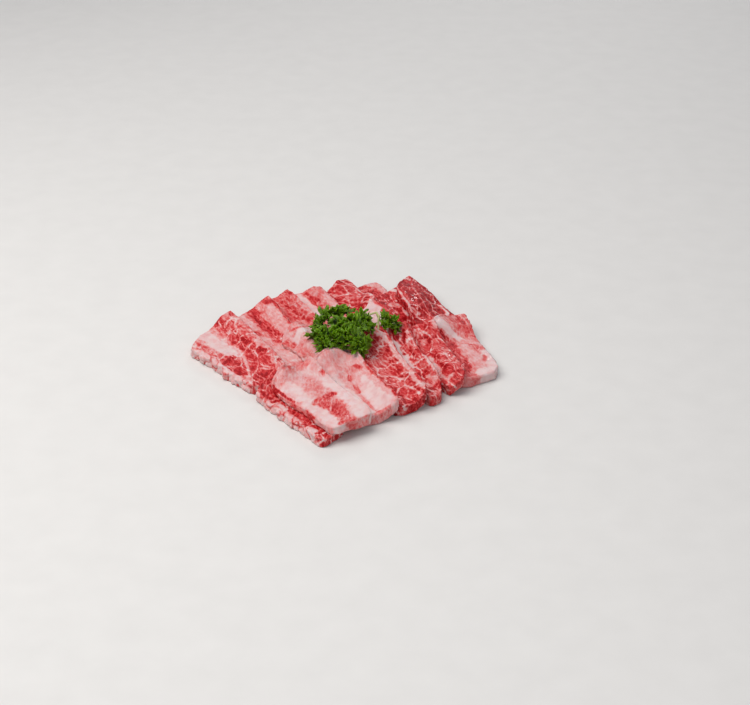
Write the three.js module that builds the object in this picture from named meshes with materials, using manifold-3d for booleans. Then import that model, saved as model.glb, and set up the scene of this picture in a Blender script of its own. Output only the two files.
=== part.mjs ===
// Boneless beef short rib, cut into slices and laid out in two shingled rows, with a sprig of curly
// parsley on top. Millimetres, +Z up. The slices run from the back left to the front right.
// Each slice is draped over the ones laid before it, so that the pile is as uneven as the real one.
import * as THREE from "three";
import { mergeVertices } from "three/addons/utils/BufferGeometryUtils.js";
import Module from "manifold-3d";

// How the meat is cut
const THICKNESS_SWING = 0.45; // how far the cut wanders over a slice
const RIM_INSET = 1.3; // the cut faces stop this far inside the outline
const RIM_DROP_TOP = 1.3; // rounding under the upper edge
const RIM_DROP_UNDER = 1.0; // rounding over the lower edge
const CORNER_ROUND = 2.4; // how far a corner of the outline is drawn in
const EDGE_WANDER = 0.8; // slow swing of the cut outline
const EDGE_ROUGHNESS = 0.7; // small unevenness from one point of the outline to the next
const WANDER_PITCHES = [1, 2.3, 4.1]; // the waves that a slow swing is made of
const CLEARANCE = 0.32; // left between two pieces that touch

// How finely a slice is meshed
const CELLS_LONG = 12;
const CELLS_WIDE = 6;

// How the meat settles
const SAG = 0.26; // drop in each pass, before the slice is held up again
const STIFFNESS = 0.5; // share of the way to its neighbours that a point is pulled
const SETTLING_PASSES = 220;
const CLEARING_PASSES = 60;
const FLAT_BELOW = 0.2; // an underside this near the surface lies flat on it
const SAMPLES = 4; // contact points along the side of each underside triangle

// The plan that everything is laid out on, and its map of heights
const MAP_HALF = 135;
const MAP_CELL = 1.2;
const MAP_SIDE = Math.ceil((2 * MAP_HALF) / MAP_CELL) + 1;

// The parsley
const LEAF_THICKNESS = 1;
const LEAF_GROUND = 5; // half the side of the square whose mean height a leaflet or a fork stands on
const LEAF_SECTORS = 10; // an even number: the frill goes up and down by turns
const LEAF_RINGS = [0.6, 1]; // shares of the radius
const LEAF_CUP = 0.22; // how far the middle of a leaflet is dished, as a share of its radius
const LEAF_FRILL = 0.26; // height of its frill, as a share of its radius
const LEAF_LOBES = 3;
const LEAF_LOBE_DEPTH = 0.14; // as a share of its radius
const SPRIG_HEART_DEPTH = 16; // the point that the leaflets face away from is this far under the fork
const STEM_RADIUS = 1.0;
const STALK_RADIUS = 0.6;
const STEM_SIDES = 4;

// Colours
const LEAN_RED = 0xc4444a;
const FATTY_PINK = 0xe3a09f;
const FAT_WHITE = 0xeccac6;
const PARSLEY_GREEN = 0x3a7a12;

// The slices in the order in which they are laid. corners are the far left, far right, near right and
// near left ones in plan, and thick is the thickness at the far end and at the near end. The far and
// near ends bulge by farOut and nearOut, and the middle of the right side by sideOut. thin is how much of
// the thickness the left side loses, and beads is how far the lumps of fat along that side stand out.
const slices = [
  { name: "slice_back_6", corners: [[-14.3, 96.2], [13.8, 115.8], [40.8, 62.8], [20.8, 43.4]],
    thick: [5.4, 3.8], farOut: 1, nearOut: 0, color: FATTY_PINK },
  { name: "slice_back_7", corners: [[5.9, 71.8], [37.3, 107.3], [54.5, 40.9], [27.6, 21.4]],
    thick: [5.4, 3.8], farOut: 1, nearOut: 0, color: LEAN_RED },
  { name: "slice_back_8", corners: [[25.4, 82.7], [36.3, 108.7], [76, 43.1], [44.2, 22.5]],
    thick: [6.6, 4.4], farOut: 0.5, nearOut: 0, sideOut: 4, color: LEAN_RED },
  { name: "slice_back_5", corners: [[-28.1, 87.3], [-6.7, 105.7], [29.7, 32.3], [6.8, 16.5]],
    thick: [7, 4], farOut: 1, nearOut: 0, color: LEAN_RED },
  { name: "slice_back_4", corners: [[-49.2, 90.8], [-24.6, 88.5], [12.1, 17.8], [-12.3, 6.8]],
    thick: [7, 4], farOut: 4, nearOut: 0, color: FATTY_PINK },
  { name: "slice_back_3", corners: [[-66.3, 81], [-48.3, 88], [-7.8, 14.8], [-29.9, -0.7]],
    thick: [7, 4], farOut: 1.5, nearOut: 0, color: LEAN_RED },
  { name: "slice_back_2", corners: [[-89, 47.4], [-61.1, 77.1], [-23.2, -10.2], [-43.3, -33.1]],
    thick: [7, 4.6], farOut: 1.5, nearOut: 0, color: FATTY_PINK },
  { name: "slice_back_1", corners: [[-112.8, 15.2], [-86, 53.6], [-42.1, -25.4], [-64.9, -42.3]],
    thick: [7, 6], farOut: 1, nearOut: 1, beads: 1.6, color: LEAN_RED },
  { name: "slice_middle_2", corners: [[-3.7, 43.3], [10.9, 57.6], [36.8, 20.8], [19.9, 6.8]],
    thick: [4.6, 4], farOut: 0, nearOut: 0, color: FAT_WHITE },
  { name: "slice_middle_1", corners: [[-53.1, 17.7], [-35.8, 32.1], [10, -7.4], [-15.2, -29.4]],
    thick: [5.4, 4], farOut: 0, nearOut: 0, color: FAT_WHITE },
  { name: "slice_front_7", corners: [[46.7, 34.9], [74.2, 58], [95.2, -16.5], [61.6, -35]],
    thick: [5.2, 6.4], farOut: 1, nearOut: 0.5, sideOut: -3, color: FAT_WHITE },
  { name: "slice_front_6", corners: [[29.1, 28.8], [50.5, 35.3], [70.5, -36.5], [55, -41.7]],
    thick: [4.6, 6.8], farOut: 0.5, nearOut: 2.5, color: LEAN_RED },
  { name: "slice_front_5", corners: [[17.7, 22.4], [33, 25.4], [56.4, -47.9], [43, -57]],
    thick: [4.2, 7.2], farOut: 0, nearOut: 2.5, color: LEAN_RED },
  { name: "slice_front_4", corners: [[-6.8, 19], [17, 23.6], [45.9, -58.8], [22.1, -69.8]],
    thick: [4.6, 7.4], farOut: 0.5, nearOut: 0, color: LEAN_RED },
  { name: "slice_front_3", corners: [[-30.1, -17.3], [-4.9, 2.4], [27.5, -71.6], [1.5, -81.6]],
    thick: [5, 7], farOut: 1, nearOut: 0, color: FAT_WHITE },
  { name: "slice_front_1", corners: [[-65.7, -44.5], [-43.1, -30.3], [-6.4, -89.1], [-21.9, -107.1]],
    thick: [5, 6], farOut: 1, nearOut: 1, beads: 1.4, color: LEAN_RED },
  { name: "slice_front_2", corners: [[-56.6, -43.8], [-30, -18.7], [10.7, -85.5], [-15.4, -103.1]],
    thick: [5.4, 6.8], farOut: 0.5, nearOut: 0, thin: 0.3, color: FAT_WHITE },
];

// The sprig: its root, its fork, and where each of its stems ends, with the leaflets that each stem bears.
// Each is x, y and a height over the meat right there, and a leaflet has its radius as well.
const sprigRoot = [11, -2, 2];
const sprigFork = [-3, 8, 4];
const sprigStems = [
  { end: [-20, 2, 4], leaflets: [[-27, 1, 5, 8], [-30, 10, 5, 6.5], [-22, -10, 4, 7.5], [-18, 2, 9, 7.5]] },
  { end: [-15, 20, 4], leaflets: [[-25, 23, 6, 7], [-17, 28, 9, 7.5], [-7, 27, 10, 7], [-14, 14, 11, 7]] },
  { end: [-3, -5, 4], leaflets: [[-12, -9, 7, 6.5], [-6, -4, 12, 7], [-3, -15, 4, 7], [6, -11, 4, 7]] },
  { end: [3, 11, 5],
    leaflets: [[-3, 17, 12, 6.5], [1, 5, 13, 7], [9, 13, 10, 6.5], [8, 0, 7, 7], [5, 24, 6, 6]] },
  { end: [16, 16, 3], leaflets: [[16, 21, 5, 6], [24, 18, 4.5, 6.5], [18, 12, 5, 5.5]] },
];

const wasm = await Module();
wasm.setup();

// The same run of numbers from 0 to 1 each time, for one seed.
function drawer(seed) {
  let state = seed * 7919 + 17;
  return () => {
    state = (state * 16807) % 2147483647;
    return state / 2147483647;
  };
}

// A smooth wander along x, from -1 to 1, of waves whose phases come from the seed.
function wanderer(seed) {
  const draw = drawer(seed);
  const waves = WANDER_PITCHES.map((pitch) => ({ pitch, height: 1 / pitch, phase: draw() * 2 * Math.PI }));
  const whole = waves.reduce((sum, w) => sum + w.height, 0);
  const wave = (w, x) => (w.height / whole) * Math.sin(w.pitch * x * Math.PI + w.phase);
  return (x) => waves.reduce((sum, w) => sum + wave(w, x), 0);
}

// A slice's corners, directions and wanders, ready for planPoint.
function layout(slice, seed) {
  const [farLeft, farRight, nearRight, nearLeft] = slice.corners.map((c) => new THREE.Vector2(...c));
  const farMiddle = farLeft.clone().lerp(farRight, 0.5);
  const nearMiddle = nearLeft.clone().lerp(nearRight, 0.5);
  const along = nearMiddle.clone().sub(farMiddle);
  const long = along.length();
  along.normalize();
  const across = new THREE.Vector2(-along.y, along.x);
  const wide = farRight.clone().add(nearRight).sub(farLeft).sub(nearLeft).dot(across) / 2;
  const sway = { sides: wanderer(seed), ends: wanderer(seed + 100), cut: wanderer(seed + 200) };
  return { ...slice, farLeft, farRight, nearRight, nearLeft, along, across, long, wide, sway };
}

// A point of a slice in plan, where s runs along it and t across it, each from -1 to 1.
function planPoint(cut, s, t) {
  const left = cut.farLeft.clone().lerp(cut.nearLeft, (s + 1) / 2);
  const right = cut.farRight.clone().lerp(cut.nearRight, (s + 1) / 2);
  const end = Math.sign(s);
  const side = Math.sign(t);
  const corner = CORNER_ROUND * Math.abs(s) ** 9 * Math.abs(t) ** 5;
  const bulge = (s < 0 ? cut.farOut : cut.nearOut) * s * s * (1 - t * t);
  const outLong = bulge - corner + EDGE_WANDER * s * s * cut.sway.ends(t + 3 * end);
  const belly = t > 0 ? (cut.sideOut ?? 0) * t * (1 - s * s) : 0;
  const outWide = belly - 0.6 * corner + EDGE_WANDER * t * t * cut.sway.sides(s + 3 * side);
  return left
    .lerp(right, (t + 1) / 2)
    .addScaledVector(cut.along, end * outLong)
    .addScaledVector(cut.across, side * outWide);
}

// The lattice that both cut faces share: its points inside the rim, its faces, and its rim in order.
function latticeOf(cut) {
  const shrinkLong = 1 - (2 * RIM_INSET) / cut.long;
  const shrinkWide = 1 - (2 * RIM_INSET) / cut.wide;
  const points = [];
  for (let i = 0; i <= CELLS_LONG; i++)
    for (let j = 0; j <= CELLS_WIDE; j++) {
      const s = -1 + (2 * i) / CELLS_LONG;
      const t = -1 + (2 * j) / CELLS_WIDE;
      points.push({ s, t, plan: planPoint(cut, s * shrinkLong, t * shrinkWide) });
    }
  const at = (i, j) => i * (CELLS_WIDE + 1) + j;
  const rim = [];
  for (let i = 0; i < CELLS_LONG; i++) rim.push(at(i, 0));
  for (let j = 0; j < CELLS_WIDE; j++) rim.push(at(CELLS_LONG, j));
  for (let i = CELLS_LONG; i > 0; i--) rim.push(at(i, CELLS_WIDE));
  for (let j = CELLS_WIDE; j > 0; j--) rim.push(at(0, j));
  const faces = [];
  for (let i = 0; i < CELLS_LONG; i++)
    for (let j = 0; j < CELLS_WIDE; j++) {
      const [a, b, c, d] = [at(i, j), at(i + 1, j), at(i + 1, j + 1), at(i, j + 1)];
      if ((i + j) % 2) faces.push([a, b, d], [b, c, d]);
      else faces.push([a, b, c], [a, c, d]);
    }
  return { points, rim, faces, at };
}

// The full width of a slice along its rim, with the beads of fat on the left side pushed out.
function rimPoints(cut, lattice, seed) {
  const draw = drawer(seed);
  return lattice.rim.map((k, n) => {
    const { s, t } = lattice.points[k];
    const p = planPoint(cut, s, t);
    const out = p.clone().sub(planPoint(cut, s * 0.9, t * 0.9)).normalize();
    const onBeads = t < -0.9 && Math.abs(s) < 0.95;
    const bead = onBeads ? (cut.beads ?? 0) * (n % 2 ? 1 : -0.35) : 0;
    return p.addScaledVector(out, bead * (0.5 + draw()) + EDGE_ROUGHNESS * (draw() - 0.5));
  });
}

// How thick a slice is at a point of its lattice.
function thicknessAt(cut, s, t) {
  const middle = THREE.MathUtils.lerp(cut.thick[0], cut.thick[1], (s + 1) / 2);
  const leftLoss = (cut.thin ?? 0) * Math.max(0, -t) ** 2;
  return middle * (1 - leftLoss) + THICKNESS_SWING * cut.sway.cut(s * 1.3 + t * 0.7);
}

// The map of heights of what has been laid so far
const heights = new Float32Array(MAP_SIDE * MAP_SIDE);
const mapIndex = (v) => THREE.MathUtils.clamp(Math.round((v + MAP_HALF) / MAP_CELL), 1, MAP_SIDE - 2);

// The highest thing near a point of the plan: in its own map cell and the eight round it.
function heightNear(x, y) {
  const [i, j] = [mapIndex(x), mapIndex(y)];
  let highest = 0;
  for (let di = -1; di <= 1; di++)
    for (let dj = -1; dj <= 1; dj++) highest = Math.max(highest, heights[(i + di) * MAP_SIDE + j + dj]);
  return highest;
}

// Weights of points spread evenly over a triangle, count along each side.
function spreadWeights(count) {
  const weights = [];
  for (let i = 0; i <= count; i++)
    for (let j = 0; j <= count - i; j++) weights.push([i / count, j / count, (count - i - j) / count]);
  return weights;
}

// Calls visit with points spread over a geometry's faces, closer together than the map's cells.
function walkSurface(geometry, visit) {
  const p = geometry.getAttribute("position");
  const index = geometry.index.array;
  const corner = [new THREE.Vector3(), new THREE.Vector3(), new THREE.Vector3()];
  const point = new THREE.Vector3();
  for (let f = 0; f < index.length; f += 3) {
    corner.forEach((c, k) => c.fromBufferAttribute(p, index[f + k]));
    const [a, b, c] = corner;
    const reach = Math.max(a.distanceTo(b), b.distanceTo(c), c.distanceTo(a));
    for (const w of spreadWeights(Math.ceil((1.6 * reach) / MAP_CELL))) {
      point.set(0, 0, 0);
      corner.forEach((v, k) => point.addScaledVector(v, w[k]));
      visit(point);
    }
  }
}

// Raises the map to a solid's upper side.
function layOnMap(geometry) {
  walkSurface(geometry, (point) => {
    const cell = mapIndex(point.x) * MAP_SIDE + mapIndex(point.y);
    heights[cell] = Math.max(heights[cell], point.z);
  });
}

// Where a slice's underside can touch: points of its faces and of the rounding round them, each with the
// lattice points that carry it and the height that it needs.
function contactsOf({ points, rim, faces }, rimLow) {
  const corners = points.map((p, k) => ({ plan: p.plan, follows: k, above: 0 }));
  rim.forEach((k, n) => corners.push({ plan: rimLow[n], follows: k, above: RIM_DROP_UNDER }));
  const rounding = rim.flatMap((k, n) => {
    const next = (n + 1) % rim.length;
    const [a, b] = [points.length + n, points.length + next];
    return [[k, a, b], [k, b, rim[next]]];
  });
  return [...faces, ...rounding].flatMap((face) => {
    const abc = face.map((k) => corners[k]);
    return spreadWeights(SAMPLES).map((w) => {
      const blend = (read) => abc.reduce((sum, corner, n) => sum + read(corner) * w[n], 0);
      const ground = heightNear(blend((c) => c.plan.x), blend((c) => c.plan.y));
      const need = (ground > 0 ? ground + CLEARANCE : 0) - blend((c) => c.above);
      return { on: abc.map((c) => c.follows), w, need, share: w[0] ** 2 + w[1] ** 2 + w[2] ** 2 };
    });
  });
}

// Lets a slice's underside settle on what is under it, and returns its height at each lattice point.
function settle(lattice, rimLow) {
  const { points, at } = lattice;
  const contacts = contactsOf(lattice, rimLow);
  const under = new Float64Array(points.length);
  under.fill(Math.max(...contacts.map((c) => c.need)));
  const holdUp = () => {
    for (const { on, w, need, share } of contacts) {
      const missing = need - (under[on[0]] * w[0] + under[on[1]] * w[1] + under[on[2]] * w[2]);
      if (missing > 0) on.forEach((k, n) => (under[k] += (missing * w[n]) / share));
    }
  };
  for (let pass = 0; pass < SETTLING_PASSES; pass++) {
    const before = under.slice();
    for (let i = 0; i <= CELLS_LONG; i++)
      for (let j = 0; j <= CELLS_WIDE; j++) {
        const near = [[i - 1, j], [i + 1, j], [i, j - 1], [i, j + 1]].filter(
          ([a, b]) => a >= 0 && a <= CELLS_LONG && b >= 0 && b <= CELLS_WIDE,
        );
        const mean = near.reduce((sum, [a, b]) => sum + before[at(a, b)], 0) / near.length;
        under[at(i, j)] = before[at(i, j)] + STIFFNESS * (mean - before[at(i, j)]) - SAG;
      }
    holdUp();
  }
  for (let pass = 0; pass < CLEARING_PASSES; pass++) holdUp();
  return under.map((h) => (h < FLAT_BELOW ? 0 : h));
}

// A geometry from a flat list of coordinates and one of corner numbers.
function geometryOf(position, index) {
  return new THREE.BufferGeometry()
    .setAttribute("position", new THREE.Float32BufferAttribute(position, 3))
    .setIndex(index);
}

// One slice as a closed solid: two cut faces on one lattice, and a rounded side between them.
function sliceGeometry(slice, seed) {
  const cut = layout(slice, seed);
  const lattice = latticeOf(cut);
  const { points, rim, faces } = lattice;
  const rimLow = rimPoints(cut, lattice, seed + 300);
  const rimHigh = rimPoints(cut, lattice, seed + 400);
  const under = settle(lattice, rimLow);
  const over = points.map(({ s, t }, k) => under[k] + thicknessAt(cut, s, t));
  const count = points.length;
  const position = [
    ...points.flatMap((p, k) => [p.plan.x, p.plan.y, over[k]]),
    ...points.flatMap((p, k) => [p.plan.x, p.plan.y, under[k]]),
    ...rim.flatMap((k, n) => [rimHigh[n].x, rimHigh[n].y, over[k] - RIM_DROP_TOP]),
    ...rim.flatMap((k, n) => [rimLow[n].x, rimLow[n].y, under[k] + RIM_DROP_UNDER]),
  ];
  const index = faces.flatMap(([a, b, c]) => [a, b, c, a + count, c + count, b + count]);
  const high = 2 * count;
  const low = high + rim.length;
  const rings = [rim, rim.map((_, n) => high + n), rim.map((_, n) => low + n), rim.map((k) => k + count)];
  for (let r = 0; r < rings.length - 1; r++)
    rim.forEach((_, n) => {
      const next = (n + 1) % rim.length;
      const [a, b, c, d] = [rings[r][n], rings[r + 1][n], rings[r + 1][next], rings[r][next]];
      index.push(a, b, c, a, c, d);
    });
  return geometryOf(position, index);
}

// A frilled leaflet round the origin, facing +Z: its upper face, its under face, and the edge between.
function leafletGeometry(radius, draw) {
  const phase = draw() * 2 * Math.PI;
  const upper = [0, 0, -LEAF_CUP * radius];
  for (const share of LEAF_RINGS)
    for (let k = 0; k < LEAF_SECTORS; k++) {
      const angle = (2 * Math.PI * k) / LEAF_SECTORS;
      const lobes = 1 + LEAF_LOBE_DEPTH * Math.cos(LEAF_LOBES * angle + phase);
      const reach = radius * share * (share < 1 ? lobes : lobes * (0.88 + 0.24 * draw()));
      const frill = LEAF_FRILL * radius * share ** 2 * (k % 2 ? 1 : -1) * (0.7 + 0.6 * draw());
      const dish = LEAF_CUP * radius * (share ** 2 - 1);
      upper.push(reach * Math.cos(angle), reach * Math.sin(angle), dish + frill);
    }
  const count = upper.length / 3;
  const under = upper.map((v, n) => (n % 3 === 2 ? v - LEAF_THICKNESS : v));
  const ring = (r, k) => 1 + r * LEAF_SECTORS + (k % LEAF_SECTORS);
  const faces = [];
  for (let k = 0; k < LEAF_SECTORS; k++) {
    faces.push([0, ring(0, k), ring(0, k + 1)]);
    for (let r = 0; r < LEAF_RINGS.length - 1; r++) {
      faces.push([ring(r, k), ring(r + 1, k), ring(r + 1, k + 1)]);
      faces.push([ring(r, k), ring(r + 1, k + 1), ring(r, k + 1)]);
    }
  }
  const index = faces.flatMap(([a, b, c]) => [a, b, c, a + count, c + count, b + count]);
  const last = LEAF_RINGS.length - 1;
  for (let k = 0; k < LEAF_SECTORS; k++) {
    const [a, b] = [ring(last, k), ring(last, k + 1)];
    index.push(a, a + count, b + count, a, b + count, b);
  }
  return geometryOf([...upper, ...under], index);
}

// A straight stem between two points, a little sunk into what it joins at each end.
function stemGeometry(from, to, radius) {
  const axis = to.clone().sub(from);
  const stem = new THREE.CylinderGeometry(radius * 0.8, radius, axis.length() + radius, STEM_SIDES, 1);
  stem.deleteAttribute("uv");
  stem.deleteAttribute("normal");
  const turn = new THREE.Quaternion().setFromUnitVectors(new THREE.Vector3(0, 1, 0), axis.normalize());
  const middle = from.clone().lerp(to, 0.5);
  return stem.applyQuaternion(turn).translate(middle.x, middle.y, middle.z);
}

function toManifold(geometry) {
  const merged = mergeVertices(geometry, 1e-4);
  return new wasm.Manifold(
    new wasm.Mesh({
      numProp: 3,
      vertProperties: merged.getAttribute("position").array,
      triVerts: new Uint32Array(merged.index.array),
    }),
  );
}

// A point at a height over the meat: over the mean of the map round it.
function overMeat([x, y, height]) {
  let sum = 0;
  let count = 0;
  for (let dx = -LEAF_GROUND; dx <= LEAF_GROUND; dx += MAP_CELL)
    for (let dy = -LEAF_GROUND; dy <= LEAF_GROUND; dy += MAP_CELL) {
      sum += heightNear(x + dx, y + dy);
      count += 1;
    }
  return new THREE.Vector3(x, y, sum / count + height);
}

// The whole sprig as one solid. Its leaflets face away from its heart, a point below its middle.
function sprigGeometry() {
  const draw = drawer(41);
  const fork = overMeat(sprigFork);
  const heart = fork.clone().add(new THREE.Vector3(0, 0, -SPRIG_HEART_DEPTH));
  const pieces = [stemGeometry(overMeat(sprigRoot), fork, STEM_RADIUS)];
  for (const { end, leaflets } of sprigStems) {
    const branch = overMeat(end);
    pieces.push(stemGeometry(fork, branch, STEM_RADIUS * 0.9));
    for (const [x, y, height, radius] of leaflets) {
      const middle = overMeat([x, y, height]);
      const facing = middle.clone().sub(heart).normalize();
      const turn = new THREE.Quaternion().setFromUnitVectors(new THREE.Vector3(0, 0, 1), facing);
      const leaflet = leafletGeometry(radius, draw).applyQuaternion(turn);
      const base = middle.clone().addScaledVector(facing, -LEAF_CUP * radius - LEAF_THICKNESS / 2);
      pieces.push(leaflet.translate(middle.x, middle.y, middle.z));
      pieces.push(stemGeometry(branch, base, STALK_RADIUS));
    }
  }
  const joined = wasm.Manifold.union(pieces.map(toManifold)).getMesh();
  return geometryOf(Array.from(joined.vertProperties), Array.from(joined.triVerts));
}

// Lowers a solid until it all but touches what it is above.
function lowerOntoMap(geometry) {
  let drop = Infinity;
  walkSurface(geometry, (point) => {
    drop = Math.min(drop, point.z - heightNear(point.x, point.y) - CLEARANCE);
  });
  return geometry.translate(0, 0, -drop);
}

const arrangement = new THREE.Group();

function addMesh(name, geometry, color, roughness) {
  const material = new THREE.MeshStandardMaterial({ color, roughness, metalness: 0 });
  const mesh = new THREE.Mesh(geometry, material);
  mesh.name = name;
  arrangement.add(mesh);
}

slices.forEach((slice, n) => {
  const geometry = sliceGeometry(slice, n + 1);
  layOnMap(geometry);
  addMesh(slice.name, geometry, slice.color, 0.4);
});
addMesh("parsley", lowerOntoMap(sprigGeometry()), PARSLEY_GREEN, 0.5);

// The origin goes to the middle of the underside of the whole.
const box = new THREE.Box3().setFromObject(arrangement);
const middle = box.getCenter(new THREE.Vector3());
arrangement.children.forEach((mesh) => mesh.geometry.translate(-middle.x, -middle.y, -box.min.z));

export default arrangement;
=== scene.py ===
# Boneless beef short rib, sliced and fanned out in two shingled rows, with a sprig of curly parsley on top.
# Blender works in metres here. What is cut, painted or grown below is measured in millimetres.
import math
import random
from itertools import product

import bmesh
import bpy
import numpy as np
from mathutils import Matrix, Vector
from mathutils.kdtree import KDTree


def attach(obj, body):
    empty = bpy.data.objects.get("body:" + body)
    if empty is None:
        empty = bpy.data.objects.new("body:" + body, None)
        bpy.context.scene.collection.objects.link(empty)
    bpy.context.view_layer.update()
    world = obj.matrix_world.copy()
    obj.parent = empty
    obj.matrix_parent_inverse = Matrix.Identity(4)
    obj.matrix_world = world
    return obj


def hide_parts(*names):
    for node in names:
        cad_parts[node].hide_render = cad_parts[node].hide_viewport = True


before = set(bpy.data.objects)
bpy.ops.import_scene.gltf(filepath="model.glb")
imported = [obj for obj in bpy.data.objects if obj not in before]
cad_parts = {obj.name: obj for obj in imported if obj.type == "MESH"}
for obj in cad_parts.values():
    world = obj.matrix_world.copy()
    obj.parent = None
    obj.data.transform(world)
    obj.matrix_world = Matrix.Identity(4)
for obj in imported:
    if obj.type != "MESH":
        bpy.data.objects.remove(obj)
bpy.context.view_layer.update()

MM = 0.001

# The camera, and the point that it faces
LENS = 85
ELEVATION = math.radians(28.3)
DISTANCE = 1.1625
AIM = Vector((0.0085, -0.0046, 0))
SHIFT = (0.0233, 0.0167)

# The studio, in metres. Each light: its name, place, size, power and tint.
LIGHTS = [
    ("key", (-0.55, -0.15, 1.1), 1.1, 14.3, (1.0, 0.98, 0.96)),
    ("fill", (0.2, -1.1, 0.8), 0.9, 2.4, (0.97, 0.98, 1.0)),
    ("back", (0.3, 1.2, 0.75), 0.25, 2.2, (1.0, 1.0, 1.0)),
]
ROOM_TINT = (0.9, 0.92, 1.0, 1.0)
ROOM_STRENGTH = 0.35
FLOOR_HALF = 4.0
FLOOR_DROP = 0.0002  # keeps the floor clear of the undersides that lie on it
FLOOR_SPECKLE = 0.02

# How a slice's mesh is made
VOXEL = 0.55
WELD = 0.001  # points that are closer than this are one
FACE_SMOOTHING = 60  # passes that even out the heights of the cut faces
SMOOTHING_SHARE = 0.6  # how much of a difference one pass takes away
RIM = 1.6  # how far in from its sides a slice's edges are rounded
RIM_FADE = 0.6
FACE_FADE = 0.4
CRISPNESS = 0.5  # how far the rounded edges are pushed out
SLICE_THICKNESS = 6

# How much a surface faces up or down: at most on a slice's sides, where its rounded edges fade in and out,
# where the lumps on its sides fade out, and at least on its top
SIDE = 0.3
EDGE_FADES_IN = (0.3, 0.55)
EDGE_FADES_OUT = (0.82, 0.97)
LUMPS_FADE_OUT = (0.35, 0.75)
TOP = 0.9

# Bumps. Each pair is a size and a height.
RAGGED = ((8.0, 1.6), (3.5, 1.1), (1.6, 0.7), (0.8, 0.35))  # in the line of a seam
RELIEF = ((6.0, 0.30), (2.4, 0.14), (1.1, 0.07))  # in the cut faces
LUMPS = ((4.3, 0.7), (2.3, 0.5), (1.2, 0.25))  # on the sides
LUMP_MEAN = 0.3
FAT_STANDS_PROUD = 0.3

# How one tissue turns into the next
SOFTNESS = 0.3  # half the width of the softest change at a stroke that has no width
SOFTNESS_SHARE = 0.09  # what each millimetre of a stroke's width adds to that
RAGGED_SHARE = 0.1  # how much of the ragged line each millimetre of width lets through, up to all of it
BLOTCHES = (6, 0.08)  # the size of the blotches in a tissue, and how much leaner or fatter they are

# Two slices whose left sides are a fringe of white beads: how far in it fades, the tissue of its beads, the
# width of the creases between them, and how much leaner those are
FRINGED_SLICES = ("slice_back_1", "slice_front_1")
FRINGE_FADE = (1.1, 3.3)
BEAD = 0.08
CREASE_WIDTH = 0.3
CREASE_LEAN = 0.5

# How lean a tissue is
FAT = 0.0
STREAKY = 0.2
BLUSHED = 0.28
PALE = 0.35
ROSY = 0.45
MARBLED = 0.55
LEAN = 0.75
DEEP = 0.95

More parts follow.
